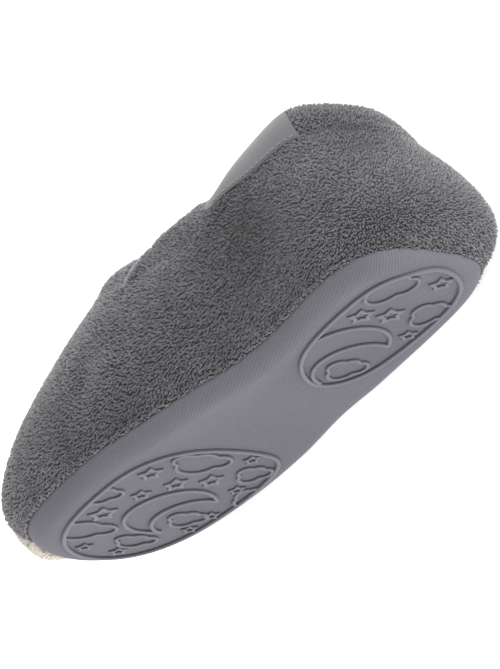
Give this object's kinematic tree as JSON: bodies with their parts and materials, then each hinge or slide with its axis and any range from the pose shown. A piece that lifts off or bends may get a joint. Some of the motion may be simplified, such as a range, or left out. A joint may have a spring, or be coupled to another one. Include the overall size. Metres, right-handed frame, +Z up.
{
  "type": "moccasin slipper",
  "caption": "Soft plush slipper for a child's right foot, lying on its outer side: hollow upper open at the collar, foam sole with a raised moon, star and cloud tread.",
  "frame": {"origin": "on the floor under the middle of the slipper's box, as it lies on its outer side", "axes": "+X along the slipper towards its heel, +Y from the tread towards the collar, +Z up from the outer side to the inner side of the foot"},
  "size_m": [0.1944, 0.0628, 0.0678],
  "materials": {
    "grey_plush": "looped micro plush, matt, with a soft sheen",
    "grey_knit_foam": "soft foam under a fine knit, with moulded tread lines",
    "pale_footbed_fabric": "short brushed pile",
    "cream_plush": "looped micro plush, matt",
    "grey_satin_ribbon": "woven satin ribbon"
  },
  "bodies": {
    "root": {"upper": "grey_plush", "outsole": "grey_knit_foam", "insole": "pale_footbed_fabric", "toe_cap": "cream_plush", "side_label": "grey_satin_ribbon"}
  },
  "joints": []
}
